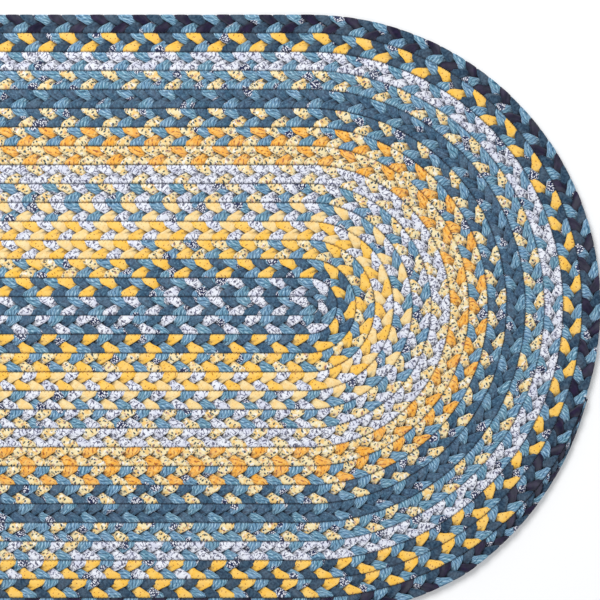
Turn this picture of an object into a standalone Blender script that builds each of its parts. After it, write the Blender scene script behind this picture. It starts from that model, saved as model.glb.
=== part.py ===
"""Oval braided rug: one three-strip braid, coiled flat and sewn edge to edge.

Metres, +Z up. The origin is the middle of the underside, +X runs along the rug and +Y across
it. The straight rows run along X and bend round one centre at each end. The two centres are
half a row apart across the rug, so that each turn of the coil lies one row further out. The
braid starts in the middle row and its tail is tapered into the edge at the +X end.
"""

import math

import bmesh
import bpy
from mathutils import Vector

RUG_LENGTH = 1.143
ROW_PITCH = 0.0215
ROWS_ACROSS = 32
THICKNESS = 0.010
CROWN_WIDTH = 0.0105
GROOVE_DEPTH = 0.0024

STEPS_PER_BEND = 18
TAIL_FULL_UNTIL = math.radians(-60)
TAIL_ENDS_AT = math.radians(-20)

OUTER_TURN = ROWS_ACROSS // 2
RIGHT_CENTRE = Vector((RUG_LENGTH / 2 - (OUTER_TURN - 0.5) * ROW_PITCH, ROW_PITCH / 2, 0))
LEFT_CENTRE = Vector((OUTER_TURN * ROW_PITCH - RUG_LENGTH / 2, 0, 0))
TAIL_SEAM_RADIUS = (OUTER_TURN - 0.5) * ROW_PITCH
CROWN_Z = THICKNESS / 2
SEAM_Z = CROWN_Z - GROOVE_DEPTH

WELD_DISTANCE = 0.00001
CLOTH_COLOUR = (0.32, 0.40, 0.46, 1)
CLOTH_ROUGHNESS = 0.9
SHARP_ANGLE = math.radians(15)


def clear_scene():
    for obj in list(bpy.data.objects):
        bpy.data.objects.remove(obj, do_unlink=True)


def cotton_material():
    material = bpy.data.materials.new("braided_cotton")
    material.use_nodes = True
    shader = material.node_tree.nodes["Principled BSDF"]
    shader.inputs["Base Color"].default_value = CLOTH_COLOUR
    shader.inputs["Roughness"].default_value = CLOTH_ROUGHNESS
    shader.inputs["Metallic"].default_value = 0
    return material


def cross_section():
    """(y, z) along the rug's upper face at mid-length, with a seam line on each side of each row."""
    points = [(OUTER_TURN * ROW_PITCH, SEAM_Z)]
    for row in range(-OUTER_TURN, OUTER_TURN):
        seam = row * ROW_PITCH
        middle = seam + ROW_PITCH / 2
        points.append((seam, SEAM_Z))
        points.append((middle - CROWN_WIDTH / 2, CROWN_Z))
        points.append((middle + CROWN_WIDTH / 2, CROWN_Z))
    points.append((RIGHT_CENTRE.y, CROWN_Z))
    return sorted(points)


def add_straight_rows(bm):
    """The rows between the two bend centres."""
    corners = [bm.verts.new((LEFT_CENTRE.x, y, z)) for y, z in cross_section()]
    across = [bm.edges.new(pair) for pair in zip(corners, corners[1:])]
    grown = bmesh.ops.extrude_edge_only(bm, edges=across)["geom"]
    far_side = [item for item in grown if isinstance(item, bmesh.types.BMVert)]
    along = Vector((RIGHT_CENTRE.x - LEFT_CENTRE.x, 0, 0))
    bmesh.ops.translate(bm, verts=far_side, vec=along)


def edges_across(bm, centre, low, high):
    """The edges of the section through a bend's centre that lie between two values of y."""
    found = []
    for edge in bm.edges:
        on_section = all(abs(vert.co.x - centre.x) < WELD_DISTANCE for vert in edge.verts)
        within = all(low <= vert.co.y - centre.y <= high for vert in edge.verts)
        if on_section and within:
            found.append(edge)
    return found


def spin_round(bm, edges, centre, angle):
    """Turns a section about a bend's centre, and gives back all the corners that it makes."""
    before = set(bm.verts)
    bmesh.ops.spin(
        bm,
        geom=edges,
        cent=centre,
        axis=(0, 0, 1),
        angle=angle,
        steps=round(abs(angle) / math.pi * STEPS_PER_BEND),
    )
    return [vert for vert in bm.verts if vert not in before]


def taper_tail(corners):
    """Draws the spun end of the last row in to the seam that it is sewn to."""
    for vert in corners:
        offset = vert.co - RIGHT_CENTRE
        angle = math.atan2(offset.y, offset.x)
        left = min(1, max(0, (TAIL_ENDS_AT - angle) / (TAIL_ENDS_AT - TAIL_FULL_UNTIL)))
        radius = TAIL_SEAM_RADIUS + (offset.xy.length - TAIL_SEAM_RADIUS) * left
        vert.co.x = RIGHT_CENTRE.x + radius * math.cos(angle)
        vert.co.y = RIGHT_CENTRE.y + radius * math.sin(angle)
        vert.co.z = SEAM_Z + (vert.co.z - SEAM_Z) * left


def add_bends(bm):
    """Both rounded ends, and the tail of the last row along the lower corner of the +X end."""
    reach = OUTER_TURN * ROW_PITCH
    slack = WELD_DISTANCE
    tail = edges_across(bm, RIGHT_CENTRE, -reach - ROW_PITCH, slack - TAIL_SEAM_RADIUS)
    right = edges_across(bm, RIGHT_CENTRE, -slack, reach)
    left = edges_across(bm, LEFT_CENTRE, -slack, reach + slack)
    spin_round(bm, right, RIGHT_CENTRE, -math.pi)
    spin_round(bm, left, LEFT_CENTRE, math.pi)
    taper_tail(spin_round(bm, tail, RIGHT_CENTRE, TAIL_ENDS_AT + math.pi / 2))
    bmesh.ops.remove_doubles(bm, verts=bm.verts, dist=WELD_DISTANCE)


def drop_rim(bm):
    """Takes the upper face's edge straight down to the rug's middle plane."""
    rim = [edge for edge in bm.edges if edge.is_boundary]
    grown = bmesh.ops.extrude_edge_only(bm, edges=rim)["geom"]
    for item in grown:
        if isinstance(item, bmesh.types.BMVert):
            item.co.z = 0


def coil_mesh():
    """The upper half of the coiled braid, open at the middle plane."""
    bm = bmesh.new()
    add_straight_rows(bm)
    add_bends(bm)
    drop_rim(bm)
    bmesh.ops.recalc_face_normals(bm, faces=bm.faces)
    mesh = bpy.data.meshes.new("braid_coil")
    bm.to_mesh(mesh)
    bm.free()
    mesh.shade_smooth()
    mesh.set_sharp_from_angle(angle=SHARP_ANGLE)
    return mesh


def add_braid_coil(collection):
    coil = bpy.data.objects.new("braid_coil", coil_mesh())
    coil.location.z = THICKNESS / 2
    coil.data.materials.append(cotton_material())
    collection.objects.link(coil)
    lower_half = coil.modifiers.new("lower_half", "MIRROR")
    lower_half.use_axis = (False, False, True)
    lower_half.merge_threshold = WELD_DISTANCE


def main():
    clear_scene()
    collection = bpy.data.collections.new("braided_rug")
    bpy.context.scene.collection.children.link(collection)
    add_braid_coil(collection)


main()
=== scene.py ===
"""Looks of the oval braided rug: three cotton strips, plaited, coiled flat and sewn.

Metres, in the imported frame's axes. The coil's rows, bends and tail are worked out from the
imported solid's box. Lengths along the braid are called s. A place in the coil is also named by
its turn: a turn starts with the bend at the -X end, and its quarters are that bend, the row
below the middle, the bend at the +X end and the row above the middle.
"""

import math

import bpy
import numpy as np
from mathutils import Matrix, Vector
from mathutils.bvhtree import BVHTree


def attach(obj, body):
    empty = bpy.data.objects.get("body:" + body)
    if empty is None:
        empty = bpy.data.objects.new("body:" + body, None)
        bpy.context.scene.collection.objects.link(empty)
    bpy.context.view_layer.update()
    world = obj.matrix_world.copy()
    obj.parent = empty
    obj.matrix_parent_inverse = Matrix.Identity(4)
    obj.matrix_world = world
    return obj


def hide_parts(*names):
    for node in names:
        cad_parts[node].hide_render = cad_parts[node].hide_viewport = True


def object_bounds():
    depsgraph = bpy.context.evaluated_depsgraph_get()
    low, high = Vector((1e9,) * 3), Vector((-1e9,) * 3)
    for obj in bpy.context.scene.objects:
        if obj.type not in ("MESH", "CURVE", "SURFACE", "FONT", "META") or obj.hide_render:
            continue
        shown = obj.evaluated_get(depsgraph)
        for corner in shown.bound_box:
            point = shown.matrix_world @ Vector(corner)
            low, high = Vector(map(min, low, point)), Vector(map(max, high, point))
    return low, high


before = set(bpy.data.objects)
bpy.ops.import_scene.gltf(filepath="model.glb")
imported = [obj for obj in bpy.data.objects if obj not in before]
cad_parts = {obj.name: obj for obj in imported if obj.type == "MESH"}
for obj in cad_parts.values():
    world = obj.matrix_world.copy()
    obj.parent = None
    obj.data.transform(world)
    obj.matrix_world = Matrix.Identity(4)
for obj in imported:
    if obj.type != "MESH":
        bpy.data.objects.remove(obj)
CAD_LOW, CAD_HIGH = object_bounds()

MM = 0.001

# The coil. Angles are those round the bend at the +X end.
ROWS_ACROSS = 32
TURNS = ROWS_ACROSS // 2
PITCH = (CAD_HIGH.y - CAD_LOW.y) / ROWS_ACROSS
THICKNESS = CAD_HIGH.z - CAD_LOW.z
MIDDLE_Z = (CAD_LOW.z + CAD_HIGH.z) / 2
RIGHT_CENTRE = Vector((CAD_HIGH.x - (TURNS - 0.5) * PITCH, CAD_LOW.y + (TURNS + 0.5) * PITCH))
LEFT_CENTRE = Vector((CAD_LOW.x + TURNS * PITCH, CAD_LOW.y + TURNS * PITCH))
TAIL_FULL_UNTIL = math.radians(-60)
TAIL_ENDS_AT = math.radians(-20)
START_BEFORE = 0.8 * PITCH

# The braid's width at the tail's tip as a share of a row, and the shares that its strips' rise and
# thickness shrink towards as the width goes to nothing.
TAIL_WIDTH = 0.12
TAIL_LIFT = 0.35
TAIL_DEPTH = 0.4

# A strip's path: it swings from seam to seam, lifts over the others and dives under them. The holds
# say how long it stays at the ends of its swing and of its lift.
STRANDS = 3
PLAIT_PERIOD = 2.24 * PITCH
SWING = 9.4 * MM
SWING_HOLD = 0.9
LIFT = 3.0 * MM
LIFT_HOLD = 2.2
DIVE_LENGTH = 4.0 * MM
DIVE_PHASE = 0.3
FOLD_CLOSENESS = 0.28

# A strip's cross-section. The powers say how suddenly its width and its tilt change.
WIDTH_AT_SEAM = 17.2 * MM
WIDTH_AT_MIDDLE = 21.0 * MM
WIDTH_POWER = 1.5
TILT = math.radians(36)
TILT_POWER = 12
STRIP_THICKNESS = 4.9 * MM
STRIP_ROUNDNESS = 3.0
RINGS_PER_PERIOD = 19
POINTS_ROUND = 10

# Unevenness: sizes, a share for the swell, and the lengths of the waves that make it.
WANDER = 0.5 * MM
WANDER_WAVES = (0.047, 0.083, 0.127)
TWIST = math.radians(3)
TWIST_WAVES = (0.043, 0.071)
SWELL = 0.08
WIDTH_WAVES = (0.037, 0.059)
DEPTH_WAVES = (0.041, 0.067)

# The room that a row's strips are pressed into, and how far off its sides the pressing starts.
SEAM_GAP = 0.03 * MM
SIDE_SOFTNESS = 0.5 * MM
RIM_SOFTNESS = 2.0 * MM
FACE_SOFTNESS = 1.0 * MM

# Strips as they are cut, in metres of braid, and joined, this share of half a period before a
# dive. The seeds are for their shapes and for where their cloth was cut.
LONGEST_STRIP = 5.2
UNDERSIDE_BEFORE_DIVE = 0.22
STRAND_SEEDS = (11, 23, 37)
CLOTH_SEED = 5

# Maps: how far a cloth's start may shift, in metres, how much a strip slants across the braid, the
# share of its outline that counts as its girth, and the gaps round its lanes.
CLOTH_SHIFT = 0.5
STRIP_SLANT = math.radians(50)
GIRTH_SHARE = 0.88
BAKE_GAP_ALONG = 0.004
BAKE_GAP_ACROSS = 0.06

# Zigzag stitches and the strips' inner folds.
THREAD_RADIUS = 0.2 * MM
THREAD_PROUD = 0.4
THREAD_SIDES = 3
STITCH_LENGTH = 2.1 * MM
STITCH_REACH = 1.3 * MM
STITCHED_ANGLE_OF_TAIL = math.radians(60)
INNER_FOLDS_THICKNESS = 2.0 * MM
INNER_FOLDS_POINTS = 240

# Painted shade in the hollows between the strips, wear and weave, the same on every cloth.
SHEEN = 0.04
SHEEN_ROUGHNESS = 0.6
SPECULAR = 0.25
# Painted shade: the colour darkens from the first height to the second above the rug's middle, by this
# share, towards this colour.
CROWNS_FROM = 4.2 * MM
HOLLOWS_FROM = 1.8 * MM
PAINTED_SHADE_SHARE = 0.6
PAINTED_SHADE_COLOUR = (0.015, 0.017, 0.035)
FADED_SHARE = 0.08
FADED_COLOUR = (0.6, 0.64, 0.68)
CREASE_DEPTH = 1.3 * MM
CREASE_STRENGTH = 0.8
WEAVE_PITCH_MM = 0.55
WEAVE_DEPTH = 0.12 * MM
WEAVE_STRENGTH = 0.35

# Floor, light and camera.
FLOOR_SIZE = 12
FLOOR_CELLS = 8
FLOOR_COLOUR = (0.96, 0.96, 0.96, 1)
FLOOR_ROUGHNESS = 0.9
WORLD_COLOUR = (0.95, 0.97, 1.0, 1)
WORLD_STRENGTH = 0.45
KEY_FROM_TARGET = Vector((-1.1, 1.5, 2.3))
KEY_SIZE = 1.3
KEY_WATTS = 66
FILL_FROM_TARGET = Vector((1.6, -1.2, 1.8))
FILL_SIZE = 2.0
FILL_WATTS = 17
VIEW_WIDTH = 0.6844
VIEW_IN_FROM_END = 0.3435
VIEW_ABOVE_MIDDLE = 0.0177
LENS_MM = 85
SENSOR_MM = 36


# ---------------------------------------------------------------- the coil


def coil_runs():
    """(turn, length, curvature) of each straight run and bend, from the middle row to the tail."""
    straight = RIGHT_CENTRE.x - LEFT_CENTRE.x
    runs = [(0.75, straight, 0.0)]
    for turn in range(1, TURNS + 1):
        left_radius = (turn - 0.5) * PITCH
        right_radius = turn * PITCH
        right_angle = math.pi if turn < TURNS else TAIL_ENDS_AT + math.pi / 2
        runs.append((turn, math.pi * left_radius, 1 / left_radius))
        runs.append((turn + 0.25, straight, 0.0))
        runs.append((turn + 0.5, right_angle * right_radius, 1 / right_radius))
        if turn < TURNS:
            runs.append((turn + 0.75, straight, 0.0))
    return runs


class Coil:
    """The braid's centreline: a middle row, then bends and rows, each turn one pitch further out."""

    def __init__(self):
        turn, length, curvature = (np.array(column) for column in zip(*coil_runs()))
        self.turn = np.append(turn, turn[-1] + 0.25)
        self.begins = np.append(0, np.cumsum(length))
        self.length = self.begins[-1]
        self.curvature = curvature
        self.heading = math.pi + np.append(0, np.cumsum(length * curvature)[:-1])
        self.start = np.zeros((len(length), 2))
        self.start[0] = RIGHT_CENTRE
        for run in range(1, len(length)):
            end, _ = self.on_run(run - 1, length[run - 1])
            self.start[run] = end

    def on_run(self, run, along):
        """Places and headings at lengths along a run, which may both be arrays."""
        bend = self.curvature[run]
        first = self.heading[run]
        last = first + bend * along
        safe = np.where(bend > 0, bend, 1.0)
        round_x = (np.sin(last) - np.sin(first)) / safe
        round_y = (np.cos(first) - np.cos(last)) / safe
        x = np.where(bend > 0, round_x, along * np.cos(first))
        y = np.where(bend > 0, round_y, along * np.sin(first))
        return self.start[run] + np.stack([x, y], -1), last

    def s_at(self, turn):
        return float(np.interp(turn, self.turn, self.begins))

    def at(self, s):
        """The centreline's places at s, and the level directions pointing outwards from the coil."""
        run = np.clip(np.searchsorted(self.begins, s, side="right") - 1, 0, len(self.curvature) - 1)
        place, heading = self.on_run(run, s - self.begins[run])
        outward = np.stack([np.sin(heading), -np.cos(heading)], -1)
        inset = (1 - self.fullness(s)) * PITCH / 2
        return place - outward * inset[:, None], outward

    def fullness(self, s):
        """The braid's width as a share of a row, which is less along the tapered tail."""
        tail_full = self.length - (TAIL_ENDS_AT - TAIL_FULL_UNTIL) * TURNS * PITCH
        return np.interp(s, [tail_full, self.length], [1, TAIL_WIDTH])

    def bent(self, s, across, height):
        """Takes places in the straight braid, as s, distance outwards and height, into the coil."""
        place, outward = self.at(s)
        flat = place + outward * across[:, None]
        return np.column_stack([flat, MIDDLE_Z + height])


COIL = Coil()


# ---------------------------------------------------------------- the shape of a strip


def wobble(s, random, size, lengths):
    """A smooth wandering of about this size, made of waves of these lengths with chance phases."""
    waves = [np.sin(2 * math.pi * s / length + random.uniform(0, 2 * math.pi)) for length in lengths]
    return size * np.sum(waves, axis=0) / len(lengths)


def squeezed(value, limit, softness):
    """Presses values that pass a limit back inside it, softly from this far before it."""
    knee = limit - softness
    past = np.abs(value) - knee
    pressed = knee + softness * np.tanh(past / softness)
    return np.where(past > 0, np.sign(value) * pressed, value)


def unit(vectors):
    return vectors / np.linalg.norm(vectors, axis=-1, keepdims=True)


def held(wave, hold):
    """Flattens the tops of a wave between -1 and 1: the larger the hold, the flatter."""
    return np.tanh(hold * wave) / math.tanh(hold)


def strip_path(plain_s, strand):
    """Where a strip's middle runs, at places evenly spread in plain_s: s, across and rise, and phase.

    The phase is 0 where the strip dives through the middle of the braid and a quarter turn either
    side of that where it folds round the braid's edges.
    """
    turned = 2 * math.pi * (plain_s / PLAIT_PERIOD + strand / STRANDS)
    crossing = np.round(turned / math.pi)
    phase = turned - crossing * math.pi
    phase = phase + FOLD_CLOSENESS * np.sin(2 * phase) / 2
    swing = held(np.sin(phase), SWING_HOLD)
    s = (crossing / 2 - strand / STRANDS) * PLAIT_PERIOD
    s = s + DIVE_LENGTH * np.tanh(phase / DIVE_PHASE) + swing * (PLAIT_PERIOD / 4 - DIVE_LENGTH)
    outwards = np.where(crossing % 2, -1, 1)
    return s, SWING * swing * outwards, LIFT * held(np.sin(2 * phase), LIFT_HOLD), phase


def strip_directions(across, rise, tilt):
    """The directions of a strip's width and thickness along its path.

    The width lies along the braid, tilted by this much, and the thickness is square to the path.
    """
    step_across, step_up = np.gradient(across), np.gradient(rise)
    step = np.hypot(step_across, step_up)
    facing_across, facing_up = step_up / step, -step_across / step
    side = np.column_stack([np.cos(tilt), np.zeros(len(tilt)), np.sin(tilt)])
    up = np.column_stack([-facing_up * np.sin(tilt), facing_across, facing_up * np.cos(tilt)])
    return side, up


def rounded_rings(path, half_width, half_depth, side, up):
    """Rings of points round a path, each a rounded oblong of these half sizes."""
    turn = 2 * math.pi * np.arange(POINTS_ROUND) / POINTS_ROUND
    power = 2 / STRIP_ROUNDNESS
    sideways = np.sign(np.cos(turn)) * np.abs(np.cos(turn)) ** power
    upright = np.sign(np.sin(turn)) * np.abs(np.sin(turn)) ** power
    out = half_width[:, None, None] * sideways[None, :, None] * side[:, None, :]
    raised = half_depth[:, None, None] * upright[None, :, None] * up[:, None, :]
    return path[:, None, :] + out + raised


def pressed_into_row(rings, s):
    """Presses rings at s inside their row's seams and faces, and the first ones to a round start."""
    reach = PITCH / 2 - SEAM_GAP
    rings[:, :, 0] = np.maximum(rings[:, :, 0], SIDE_SOFTNESS - reach)
    round_start = np.sqrt(reach**2 - np.minimum(rings[:, :, 0], 0) ** 2)
    full = COIL.fullness(rings[:, :, 0])
    limit = np.minimum(reach * full, round_start)
    at_rim = (s > COIL.s_at(TURNS - 0.5))[:, None] & (rings[:, :, 1] > 0)
    softness = np.where(at_rim, RIM_SOFTNESS, SIDE_SOFTNESS)
    rings[:, :, 1] = squeezed(rings[:, :, 1], limit, softness * full)
    rings[:, :, 2] = squeezed(rings[:, :, 2], THICKNESS / 2, FACE_SOFTNESS)
    return rings


def strip_rings(plain_s, strand, random, fullness_of_cloth):
    """The rings of points round a strip, in the straight braid, as an array of rings x points x 3."""
    s, across, rise, phase = strip_path(plain_s, strand)
    full = COIL.fullness(s)
    across = across * full + wobble(s, random, WANDER, WANDER_WAVES)
    rise = rise * (TAIL_LIFT + (1 - TAIL_LIFT) * full)
    tilt = TILT * np.cos(phase) ** TILT_POWER + wobble(s, random, TWIST, TWIST_WAVES)
    width = WIDTH_AT_MIDDLE + (WIDTH_AT_SEAM - WIDTH_AT_MIDDLE) * np.abs(np.sin(phase)) ** WIDTH_POWER
    half_width = width / 2 * fullness_of_cloth
    half_width = half_width * (1 + wobble(s, random, SWELL, WIDTH_WAVES))
    half_depth = STRIP_THICKNESS / 2 * (TAIL_DEPTH + (1 - TAIL_DEPTH) * full)
    half_depth = half_depth * (1 + wobble(s, random, SWELL, DEPTH_WAVES))
    side, up = strip_directions(across, rise, tilt)
    path = np.column_stack([s, across, rise])
    return pressed_into_row(rounded_rings(path, half_width, half_depth, side, up), s)


# ---------------------------------------------------------------- tubes and their maps


def tube_faces(rings, sides):
    """Corner numbers of the quads round a tube."""
    first = np.arange(rings - 1)[:, None] * sides
    here = np.arange(sides)[None, :]
    following = (here + 1) % sides
    quads = [first + following, first + here, first + here + sides, first + following + sides]
    return np.stack(quads, -1).reshape(-1, 4)


def tube_maps(lengths, girth, sides, shear=None):
    """Two maps for a tube's corners: metres of cloth, and lanes that fill a square without overlap.

    The shear is each point's further place along the cloth, for rings that lie aslant.
    """
    spans = len(lengths) - 1
    ring = np.repeat(np.arange(spans), sides)
    here = np.tile(np.arange(sides), spans)
    along = np.stack([ring, ring, ring + 1, ring + 1], -1)
    across = np.stack([here + 1, here, here, here + 1], -1)
    further = np.zeros(along.shape) if shear is None else shear[along, across % sides]
    cloth = np.stack([lengths[along] + further, across * girth / sides], -1)
    lanes = max(1, round(math.sqrt((lengths[-1] - lengths[0]) / girth)))
    per_lane = math.ceil(spans / lanes)
    lane = (ring // per_lane)[:, None]
    u = BAKE_GAP_ALONG + (1 - 2 * BAKE_GAP_ALONG) * (along - lane * per_lane) / per_lane
    v = (lane + BAKE_GAP_ACROSS + (1 - 2 * BAKE_GAP_ACROSS) * across / sides) / lanes
    return cloth, np.stack([u, v], -1)


def strip_maps(rings, s_from, random):
    """A strip's two maps. Its cloth starts at a chance place in the print."""
    middle = rings.mean(axis=1)
    steps = np.linalg.norm(np.diff(middle, axis=0), axis=1)
    lengths = s_from + np.append(0, np.cumsum(steps))
    girth = 2 * (WIDTH_AT_SEAM * math.sin(STRIP_SLANT) + STRIP_THICKNESS) * GIRTH_SHARE
    shear = (rings[:, :, 0] - middle[:, None, 0]) * math.cos(STRIP_SLANT)
    cloth_map, bake_map = tube_maps(lengths, girth, POINTS_ROUND, shear)
    return cloth_map + random.uniform(0, CLOTH_SHIFT, 2), bake_map


def add_map(mesh, name, corners, sides):
    """Writes one map: the quads' corners, then the two end caps' at their neighbours' place."""
    first, last = corners[0, 1], corners[-1, 1]
    ends = np.concatenate([np.tile(first, (sides, 1)), np.tile(last, (sides, 1))])
    values = np.concatenate([corners.reshape(-1, 2), ends])
    layer = mesh.uv_layers.new(name=name, do_init=False)
    layer.uv.foreach_set("vector", values.astype(np.float32).ravel())


def mesh_from(name, points, quads, caps):
    """A smooth mesh from arrays of corners and quads, with one many-sided face for each cap."""
    mesh = bpy.data.meshes.new(name)
    corners = np.concatenate([quads.ravel(), *caps])
    sizes = np.array([4] * len(quads) + [len(cap) for cap in caps])
    mesh.vertices.add(len(points))
    mesh.vertices.foreach_set("co", points.astype(np.float32).ravel())
    mesh.loops.add(len(corners))
    mesh.loops.foreach_set("vertex_index", corners.astype(np.int32))
    mesh.polygons.add(len(sizes))
    mesh.polygons.foreach_set("loop_start", np.append(0, np.cumsum(sizes)[:-1]).astype(np.int32))
    mesh.update(calc_edges=True)
    mesh.validate()
    mesh.shade_smooth()
    return mesh


def add_object(name, mesh, material):
    made = bpy.data.objects.new(name, mesh)
    mesh.materials.append(material)
    bpy.context.scene.collection.objects.link(made)
    return made


def add_tube(name, points, sides, maps, cloth, facing=1):
    """A closed tube of cloth from its rings of points. Facing is -1 where they run the other way."""
    rings = len(points) // sides
    quads = tube_faces(rings, sides)[:, ::facing]
    first_cap = np.arange(sides)[::facing]
    last_cap = ((rings - 1) * sides + np.arange(sides))[::-facing]
    mesh = mesh_from(name, points, quads, (first_cap, last_cap))
    cloth_map, bake_map = maps
    add_map(mesh, "cloth", cloth_map, sides)
    add_map(mesh, "OFBake", bake_map, sides)
    made = add_object(name, mesh, cloth.material)
    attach(made, "root")
    return made


# ---------------------------------------------------------------- shader nodes


def add_node(tree, kind, settings=None, **sockets):
    """Adds a shader node with its settings and its inputs: plain values or other nodes' outputs."""
    made = tree.nodes.new("ShaderNode" + kind)
    for name, value in (settings or {}).items():
        setattr(made, name, value)
    for name, value in sockets.items():
        put(tree, made.inputs[name.replace("_", " ")], value)
    return made


def put(tree, socket, value):
    """Sets an input to a plain value, or links another node's output to it."""
    if isinstance(value, bpy.types.NodeSocket):
        tree.links.new(value, socket)
    else:
        socket.default_value = value


def blend_colours(tree, share, first, second):
    """Mixes two colours, each an RGB triple or another node's output."""
    made = add_node(tree, "Mix", {"data_type": "RGBA"})
    # The node has sockets for each kind of data. These are the ones for colours.
    factor, first_colour, second_colour = made.inputs[0], made.inputs[6], made.inputs[7]
    mixed_colour = made.outputs[2]
    put(tree, factor, share)
    for socket, value in ((first_colour, first), (second_colour, second)):
        put(tree, socket, (*value, 1) if isinstance(value, tuple) else value)
    return mixed_colour


def level(tree, value, low, high, to_low=0.0, to_high=1.0):
    """Maps low..high smoothly to to_low..to_high."""
    made = add_node(
        tree, "MapRange", {"interpolation_type": "SMOOTHSTEP"},
        Value=value, From_Min=low, From_Max=high, To_Min=to_low, To_Max=to_high,
    )
    return made.outputs["Result"]


def worked_out(tree, operation, *values):
    """A sum of one or two numbers, each a plain value or another node's output."""
    made = add_node(tree, "Math", {"operation": operation})
    for socket, value in zip(made.inputs, values):
        put(tree, socket, value)
    return made.outputs[0]


def times(tree, first, second):
    return worked_out(tree, "MULTIPLY", first, second)


def cloth_in_mm(tree, stretch=(1, 1), turned=0.0, shift=0.0):
    """The strip's own cloth, in millimetres along and around it."""
    where = add_node(tree, "UVMap", {"uv_map": "cloth"}).outputs["UV"]
    made = add_node(
        tree, "Mapping", Vector=where, Location=(shift, shift, 0), Rotation=(0, 0, turned),
        Scale=(stretch[0] / MM, stretch[1] / MM, 1),
    )
    return made.outputs["Vector"]


def noise(tree, where, size, detail=2.0):
    made = add_node(tree, "TexNoise", Vector=where, Scale=1 / size, Detail=detail, Roughness=0.5)
    return made.outputs["Fac"]


def spots(tree, where, size, chance=1.0):
    """Distance from the nearest of a scatter of points this far apart, in cells."""
    settings = {"voronoi_dimensions": "2D"}
    made = add_node(tree, "TexVoronoi", settings, Vector=where, Scale=1 / size, Randomness=chance)
    return made.outputs["Distance"]


def cracks(tree, where, size):
    """Distance to the nearest border between cells of this size, in cells."""
    settings = {"voronoi_dimensions": "2D", "feature": "DISTANCE_TO_EDGE"}
    made = add_node(tree, "TexVoronoi", settings, Vector=where, Scale=1 / size, Randomness=1.0)
    return made.outputs["Distance"]


def bands(tree, where, size, distortion=0.0):
    """Parallel bands this far apart across the first axis, from 0 to 1."""
    period_at_unit_scale = 0.314
    made = add_node(
        tree, "TexWave", {"wave_type": "BANDS", "bands_direction": "X"},
        Vector=where, Scale=period_at_unit_scale / size, Distortion=distortion, Detail=2.0,
    )
    return made.outputs["Fac"]


def patches(tree, size, low, high, detail=2.0, stretch=(1, 1), shift=0.0):
    """Where the cloth has soft patches, this many millimetres across: noise, levelled."""
    where = cloth_in_mm(tree, stretch, shift=shift)
    return level(tree, noise(tree, where, size, detail), low, high)


def dots(tree, apart, edge, core, shift=0.0):
    """Where the cloth has scattered dots, this many millimetres apart, with radii in cells."""
    return level(tree, spots(tree, cloth_in_mm(tree, shift=shift), apart), edge, core)


def strokes(tree, apart, turned, distortion, edge, core):
    """Where the cloth has wavering strokes, this many millimetres apart, at an angle to the strip."""
    where = cloth_in_mm(tree, turned=turned)
    return level(tree, bands(tree, where, apart, distortion), edge, core)


def printed(tree, pattern, ground, colour, strength=1.0):
    """Prints a colour over the ground wherever the pattern is."""
    share = times(tree, pattern, strength) if strength < 1 else pattern
    return blend_colours(tree, share, ground, colour)


# ---------------------------------------------------------------- cloths


class Cloth:
    """A printed cotton: its material, the slot that it takes and how full its strips lie."""

    def __init__(self, name, slot, colour_of, fullness=1.0):
        self.slot = slot
        self.fullness = fullness
        self.material = bpy.data.materials.new(name)
        self.material.use_nodes = True
        tree = self.material.node_tree
        shader = tree.nodes["Principled BSDF"].inputs
        shader["Sheen Weight"].default_value = SHEEN
        shader["Sheen Roughness"].default_value = SHEEN_ROUGHNESS
        shader["Specular IOR Level"].default_value = SPECULAR
        tree.links.new(self.painted_shade_and_wear(tree, colour_of(tree)), shader["Base Color"])
        tree.links.new(self.roughness(tree), shader["Roughness"])
        tree.links.new(self.relief(tree), shader["Normal"])

    def roughness(self, tree):
        fuzz = noise(tree, cloth_in_mm(tree), size=2.5)
        return level(tree, fuzz, low=0.3, high=0.7, to_low=0.82, to_high=0.95)

    def painted_shade_and_wear(self, tree, colour):
        """Painted shade, darker down between the strips, and rubbed paler in patches along them."""
        place = add_node(tree, "TexCoord").outputs["Object"]
        height = add_node(tree, "SeparateXYZ", Vector=place).outputs["Z"]
        from_middle = worked_out(tree, "ABSOLUTE", worked_out(tree, "SUBTRACT", height, MIDDLE_Z))
        # Painted shade: the lower the surface lies, down between the strips, the nearer to the dark
        # shade colour.
        painted_shade_mask = level(tree, from_middle, low=CROWNS_FROM, high=HOLLOWS_FROM)
        colour = printed(tree, painted_shade_mask, colour, PAINTED_SHADE_COLOUR, strength=PAINTED_SHADE_SHARE)
        rubbed = noise(tree, cloth_in_mm(tree, stretch=(0.2, 1)), size=7.0, detail=3.0)
        faded = level(tree, rubbed, low=0.35, high=0.75, to_high=FADED_SHARE)
        return printed(tree, faded, colour, FADED_COLOUR)

    def relief(self, tree):
        """Fine plain weave over long soft creases."""
        creases = noise(tree, cloth_in_mm(tree, stretch=(0.22, 1)), size=2.2, detail=3.0)
        soft = add_node(tree, "Bump", Strength=CREASE_STRENGTH, Distance=CREASE_DEPTH, Height=creases)
        warp = bands(tree, cloth_in_mm(tree), WEAVE_PITCH_MM)
        weft = bands(tree, cloth_in_mm(tree, turned=math.pi / 2), WEAVE_PITCH_MM)
        weave = add_node(
            tree, "Bump", Strength=WEAVE_STRENGTH, Distance=WEAVE_DEPTH,
            Height=times(tree, warp, weft), Normal=soft.outputs["Normal"],
        )
        return weave.outputs["Normal"]


def navy_colour(tree):
    blue_black = (0.005, 0.005, 0.022)
    plum = (0.019, 0.010, 0.043)
    return printed(tree, patches(tree, size=6.0, low=0.35, high=0.7, detail=3.0), blue_black, plum)


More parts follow.
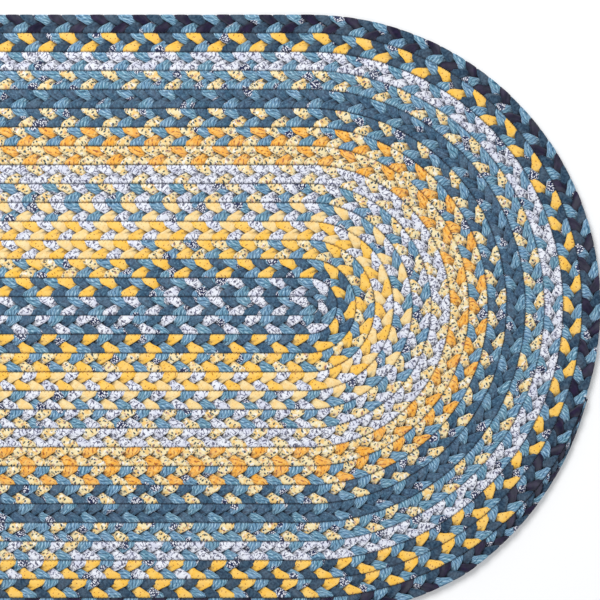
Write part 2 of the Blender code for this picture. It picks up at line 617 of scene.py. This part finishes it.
def denim_colour(tree):
    teal = (0.030, 0.090, 0.155)
    blue = (0.048, 0.100, 0.175)
    pale_slub = (0.13, 0.25, 0.36)
    dark_blotch = (0.013, 0.033, 0.068)
    ground = printed(tree, patches(tree, size=14.0, low=0.35, high=0.65), teal, blue)
    slub = patches(tree, size=1.1, low=0.45, high=0.7, detail=3.0, stretch=(0.35, 1))
    ground = printed(tree, slub, ground, pale_slub, strength=0.7)
    blotches = patches(tree, size=2.4, low=0.5, high=0.64, shift=0.37)
    return printed(tree, blotches, ground, dark_blotch, strength=0.75)


def deep_denim_colour(tree):
    dark = (0.010, 0.034, 0.070)
    light = (0.042, 0.090, 0.145)
    return printed(tree, patches(tree, size=2.2, low=0.38, high=0.62, detail=3.0), dark, light)


def flower_heads(tree, apart, reach, shift):
    """Where flower heads lie: ragged rounds of this reach, one to each cell, all in millimetres."""
    raggedness = 0.16
    half_soft = 0.02
    where = cloth_in_mm(tree, shift=shift)
    fray = times(tree, noise(tree, where, size=2.2), raggedness)
    distance = worked_out(tree, "ADD", spots(tree, where, apart, chance=0.8), fray)
    edge = reach / apart + raggedness / 2
    return level(tree, distance, edge + half_soft, edge - half_soft)


def sky_colour(tree):
    """Sky blue with broken pale and dark strokes, and a flower head here and there."""
    teal = (0.110, 0.265, 0.365)
    blue = (0.140, 0.285, 0.450)
    pale_stroke = (0.46, 0.67, 0.80)
    dark_stroke = (0.030, 0.095, 0.17)
    petal = (0.80, 0.82, 0.88)
    flower_ground = (0.015, 0.022, 0.08)
    ground = printed(tree, patches(tree, size=16.0, low=0.35, high=0.65), teal, blue)
    gaps = patches(tree, size=2.2, low=0.4, high=0.6, stretch=(0.4, 1), shift=0.21)
    pale = strokes(tree, apart=1.9, turned=1.4, distortion=3.5, edge=0.5, core=0.9)
    pale = times(tree, pale, level(tree, gaps, low=0.0, high=1.0, to_low=0.2, to_high=0.75))
    ground = printed(tree, pale, ground, pale_stroke)
    dark = strokes(tree, apart=2.6, turned=1.0, distortion=5.0, edge=0.62, core=0.9)
    dark = times(tree, dark, level(tree, gaps, low=1.0, high=0.0, to_low=0.45, to_high=0.95))
    ground = printed(tree, dark, ground, dark_stroke)
    between_petals = dots(tree, apart=1.7, edge=0.26, core=0.38)
    flower = printed(tree, between_petals, petal, flower_ground)
    return printed(tree, flower_heads(tree, apart=27.0, reach=5.5, shift=0.31), ground, flower)


def white_colour(tree):
    """White with a broken crackle of grey lines and a few ragged dark specks."""
    white = (0.82, 0.84, 0.90)
    lilac = (0.66, 0.68, 0.80)
    grey_line = (0.11, 0.11, 0.20)
    dark_speck = (0.05, 0.045, 0.10)
    ground = printed(tree, patches(tree, size=10.0, low=0.4, high=0.7), white, lilac)
    broken = patches(tree, size=3.4, low=0.44, high=0.54, detail=3.0, shift=0.19)
    lines = level(tree, cracks(tree, cloth_in_mm(tree), size=3.1), low=0.15, high=0.06)
    ground = printed(tree, times(tree, lines, broken), ground, grey_line)
    specks = dots(tree, apart=5.2, edge=0.26, core=0.17, shift=0.17)
    specks = times(tree, specks, patches(tree, size=1.2, low=0.36, high=0.5, shift=0.27))
    return printed(tree, specks, ground, dark_speck, strength=0.9)


def cream_colour(tree):
    """Cream, gold and white patches with ragged dark buds and a few pink dots."""
    cream = (0.88, 0.74, 0.42)
    gold = (0.86, 0.57, 0.20)
    off_white = (0.90, 0.86, 0.76)
    dark_bud = (0.035, 0.060, 0.075)
    pink_dot = (0.45, 0.17, 0.17)
    ground = printed(tree, patches(tree, size=5.0, low=0.45, high=0.6), cream, gold)
    ground = printed(tree, patches(tree, size=4.0, low=0.55, high=0.65, shift=0.4), ground, off_white)
    buds = dots(tree, apart=3.5, edge=0.31, core=0.23, shift=0.23)
    buds = times(tree, buds, patches(tree, size=1.3, low=0.36, high=0.5, shift=0.29))
    ground = printed(tree, buds, ground, dark_bud)
    pink = dots(tree, apart=7.5, edge=0.15, core=0.10, shift=0.11)
    return printed(tree, pink, ground, pink_dot, strength=0.6)


def yellow_colour(tree):
    gold = (0.93, 0.53, 0.07)
    light_gold = (0.94, 0.60, 0.14)
    rust_dot = (0.42, 0.15, 0.03)
    ground = printed(tree, patches(tree, size=8.0, low=0.35, high=0.65), gold, light_gold)
    rust = dots(tree, apart=4.0, edge=0.15, core=0.10, shift=0.07)
    return printed(tree, rust, ground, rust_dot, strength=0.9)


def pale_colour(tree):
    straw = (0.91, 0.62, 0.24)
    butter = (0.91, 0.72, 0.37)
    brown_dot = (0.62, 0.36, 0.12)
    ground = printed(tree, patches(tree, size=5.0, low=0.35, high=0.65, detail=3.0), straw, butter)
    brown = dots(tree, apart=3.4, edge=0.16, core=0.10, shift=0.13)
    return printed(tree, brown, ground, brown_dot, strength=0.5)


def orange_colour(tree):
    orange = (0.89, 0.41, 0.05)
    amber = (0.92, 0.55, 0.14)
    rust_stroke = (0.40, 0.11, 0.03)
    ground = printed(tree, patches(tree, size=4.0, low=0.4, high=0.65), orange, amber)
    rust = strokes(tree, apart=2.8, turned=1.2, distortion=6.0, edge=0.62, core=0.9)
    broken = patches(tree, size=2.4, low=0.42, high=0.58, shift=0.33)
    return printed(tree, times(tree, rust, broken), ground, rust_stroke)


def thread_colour(tree):
    dark = (0.06, 0.07, 0.11)
    light = (0.13, 0.15, 0.21)
    return printed(tree, patches(tree, size=3.0, low=0.3, high=0.7), dark, light)


# Folded denim, darkened to near black as painted shade where this layer shows in the gaps between the
# strips.
def painted_shade_folds_colour(tree):
    dark = (0.012, 0.02, 0.035)
    light = (0.025, 0.04, 0.07)
    return printed(tree, patches(tree, size=3.0, low=0.3, high=0.7), dark, light)


CLOTHS = {
    "navy": Cloth("navy_cotton", "navy", navy_colour, fullness=0.97),
    "denim": Cloth("denim_cotton", "denim", denim_colour, fullness=0.97),
    "deep_denim": Cloth("deep_denim_cotton", "denim", deep_denim_colour, fullness=0.97),
    "sky": Cloth("sky_cotton", "sky_stripe", sky_colour),
    "white": Cloth("white_print_cotton", "white_print", white_colour),
    "cream": Cloth("cream_print_cotton", "cream_print", cream_colour),
    "yellow": Cloth("golden_cotton", "golden_yellow", yellow_colour, fullness=1.07),
    "pale": Cloth("pale_yellow_cotton", "pale_yellow", pale_colour, fullness=1.02),
    "orange": Cloth("orange_print_cotton", "orange_print", orange_colour, fullness=1.02),
    "thread": Cloth("sewing_thread", "sewing_thread", thread_colour),
    "folds": Cloth("folded_denim_in_painted_shade", "denim", painted_shade_folds_colour),
}


# ---------------------------------------------------------------- which cloth lies where

# Each strand's cloths in order, with the turn at which each one gives way to the next.
STRAND_CLOTHS = (
    (
        (1.84, "white"), (5.1, "yellow"), (8.05, "white"), (10.1, "orange"), (12.1, "denim"),
        (13.36, "cream"), (14.05, "white"), (15.56, "yellow"), (17, "navy"),
    ),
    (
        (2.86, "denim"), (3.85, "cream"), (5.1, "white"), (7.1, "sky"), (8.1, "white"),
        (11.1, "cream"), (12.05, "denim"), (13.1, "sky"), (14.43, "white"), (17, "deep_denim"),
    ),
    ((3.85, "sky"), (6.1, "pale"), (9.1, "cream"), (17, "sky")),
)


def hidden_joint(s, strand):
    """The nearest s at which this strand runs along the underside, where two strips are joined."""
    half_turns = 2 * (s / PLAIT_PERIOD + strand / STRANDS) + UNDERSIDE_BEFORE_DIVE
    return (round(half_turns) - UNDERSIDE_BEFORE_DIVE - 2 * strand / STRANDS) / 2 * PLAIT_PERIOD


def strip_lengths():
    """(strand, first s, last s, cloth) of every strip, each no longer than a cut strip of cloth."""
    for strand, cloths in enumerate(STRAND_CLOTHS):
        begins = -START_BEFORE
        for last_turn, cloth in cloths:
            ends = min(COIL.s_at(last_turn), COIL.length)
            count = math.ceil((ends - begins) / LONGEST_STRIP)
            start = begins
            for share in range(1, count + 1):
                until = begins + (ends - begins) * share / count
                if until < COIL.length:
                    until = hidden_joint(until, strand)
                yield strand, start, until, cloth
                start = until
            begins = start


def add_strip(name, strand, s_from, s_to, cloth, random):
    """One length of folded cotton in the plait, closed at both ends."""
    count = max(2, round((s_to - s_from) / PLAIT_PERIOD * RINGS_PER_PERIOD)) + 1
    plain_s = np.linspace(s_from, s_to, count)
    strand_random = np.random.default_rng(STRAND_SEEDS[strand])
    rings = strip_rings(plain_s, strand, strand_random, cloth.fullness)
    points = COIL.bent(*rings.reshape(-1, 3).T)
    return add_tube(name, points, POINTS_ROUND, strip_maps(rings, s_from, random), cloth)


def add_strips():
    random = np.random.default_rng(CLOTH_SEED)
    made = []
    for strand, s_from, s_to, cloth in strip_lengths():
        name = f"strip_{'abc'[strand]}_{len(made) + 1:02d}_{cloth}"
        made.append(add_strip(name, strand, s_from, s_to, CLOTHS[cloth], random))
    return made


# ---------------------------------------------------------------- stitching and inner folds


def surface_tree(tubes):
    """The strips' faces without their two end caps, for finding how high their surface lies."""
    points, faces, count = [], [], 0
    for tube in tubes:
        mesh = tube.data
        places = np.empty(len(mesh.vertices) * 3, np.float32)
        mesh.vertices.foreach_get("co", places)
        corners = np.empty(len(mesh.loops), np.int32)
        mesh.loops.foreach_get("vertex_index", corners)
        quads = corners[: 4 * (len(mesh.polygons) - 2)].reshape(-1, 4)
        points.append(places.reshape(-1, 3))
        faces.append(quads + count)
        count += len(mesh.vertices)
    return BVHTree.FromPolygons(np.concatenate(points).tolist(), np.concatenate(faces).tolist())


def zigzag(tree, facing):
    """s and place of each corner of the zigzag along the seams, laid on the strips' surface."""
    last = COIL.s_at(TURNS - 0.5) + STITCHED_ANGLE_OF_TAIL * TURNS * PITCH
    count = int(last / STITCH_LENGTH)
    s = np.arange(count) * STITCH_LENGTH
    reach = STITCH_REACH * np.where(np.arange(count) % 2, 1, -1)
    corners = COIL.bent(s, PITCH / 2 + reach, np.zeros(count))
    inwards = Vector((0, 0, -facing))
    for corner in corners:
        start = Vector((corner[0], corner[1], MIDDLE_Z + facing * THICKNESS))
        hit = tree.ray_cast(start, inwards)[0]
        # Over a gap between the strips the thread hangs halfway between the face and the middle.
        lies_at = hit.z if hit else MIDDLE_Z + facing * THICKNESS / 4
        corner[2] = lies_at + facing * THREAD_RADIUS * THREAD_PROUD
    return s, corners


def thread_points(corners, facing):
    """Rings of points round the thread from corner to corner."""
    along = unit(np.gradient(corners, axis=0))
    sideways = unit(np.cross(along, (0, 0, 1.0)))
    upright = np.cross(sideways, along)
    turn = 2 * math.pi * np.arange(THREAD_SIDES) / THREAD_SIDES + math.pi / 2
    ring = (
        np.cos(turn)[None, :, None] * sideways[:, None, :]
        + np.sin(turn)[None, :, None] * upright[:, None, :] * facing
    )
    return (corners[:, None, :] + THREAD_RADIUS * ring).reshape(-1, 3)


def add_stitching(name, tree, facing):
    """The zigzag that sews each row to the next one out, on the upper (1) or the lower (-1) face."""
    s, corners = zigzag(tree, facing)
    maps = tube_maps(s, 2 * math.pi * THREAD_RADIUS, THREAD_SIDES)
    return add_tube(name, thread_points(corners, facing), THREAD_SIDES, maps, CLOTHS["thread"], facing)


def add_inner_folds():
    """The strips' hidden inner folds, as one thin layer in the middle of the rug, coloured near black
    as painted shade in the gaps between the strips.
    """
    half = INNER_FOLDS_THICKNESS / 2
    s = np.linspace(COIL.s_at(TURNS - 0.5), COIL.s_at(TURNS + 0.5), INNER_FOLDS_POINTS)
    rim = COIL.bent(s, np.zeros(len(s)), np.zeros(len(s)))
    points = np.concatenate([rim + (0, 0, half), rim - (0, 0, half)])
    count = len(rim)
    here = np.arange(count)
    after = (here + 1) % count
    quads = np.stack([here, here + count, after + count, after], -1)
    mesh = mesh_from("inner_folds", points, quads, (here, here[::-1] + count))
    layer = mesh.uv_layers.new(name="cloth")
    corners = np.empty(len(mesh.loops), np.int32)
    mesh.loops.foreach_get("vertex_index", corners)
    layer.uv.foreach_set("vector", points[corners, :2].astype(np.float32).ravel())
    folds = add_object("inner_folds", mesh, CLOTHS["folds"].material)
    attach(folds, "root")
    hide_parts("braid_coil")
    return folds


# ---------------------------------------------------------------- floor, light and camera


def add_floor():
    bpy.ops.mesh.primitive_grid_add(
        x_subdivisions=FLOOR_CELLS, y_subdivisions=FLOOR_CELLS, size=FLOOR_SIZE
    )
    floor = bpy.context.object
    floor.name = "floor"
    material = bpy.data.materials.new("pale_floor")
    material.use_nodes = True
    shader = material.node_tree.nodes["Principled BSDF"]
    shader.inputs["Base Color"].default_value = FLOOR_COLOUR
    shader.inputs["Roughness"].default_value = FLOOR_ROUGHNESS
    floor.data.materials.append(material)


def add_softbox(name, place, size, watts, target):
    light = bpy.data.lights.new(name, "AREA")
    light.size = size
    light.energy = watts
    lamp = bpy.data.objects.new(name, light)
    lamp.location = place
    lamp.rotation_euler = (target - place).to_track_quat("-Z", "Y").to_euler()
    bpy.context.scene.collection.objects.link(lamp)


def add_light(target):
    world = bpy.data.worlds.new("studio")
    bpy.context.scene.world = world
    world.use_nodes = True
    background = world.node_tree.nodes["Background"]
    background.inputs["Color"].default_value = WORLD_COLOUR
    background.inputs["Strength"].default_value = WORLD_STRENGTH
    add_softbox("key", target + KEY_FROM_TARGET, KEY_SIZE, KEY_WATTS, target)
    add_softbox("fill", target + FILL_FROM_TARGET, FILL_SIZE, FILL_WATTS, target)
    bpy.context.scene.view_settings.view_transform = "Standard"


def add_camera(target):
    """A camera straight above the target, which is on the rug's upper face."""
    camera = bpy.data.objects.new("camera", bpy.data.cameras.new("camera"))
    camera.data.lens = LENS_MM
    camera.data.sensor_width = SENSOR_MM
    height = VIEW_WIDTH * LENS_MM / SENSOR_MM
    camera.location = target + Vector((0, 0, height))
    bpy.context.scene.collection.objects.link(camera)
    bpy.context.scene.camera = camera


def main():
    strips = add_strips()
    tree = surface_tree(strips)
    upper = add_stitching("stitching_upper", tree, 1)
    under = add_stitching("stitching_under", tree, -1)
    add_inner_folds()
    middle_y = (CAD_LOW.y + CAD_HIGH.y) / 2
    target = Vector((CAD_HIGH.x - VIEW_IN_FROM_END, middle_y + VIEW_ABOVE_MIDDLE, CAD_HIGH.z))
    add_floor()
    add_light(target)
    add_camera(target)


main()
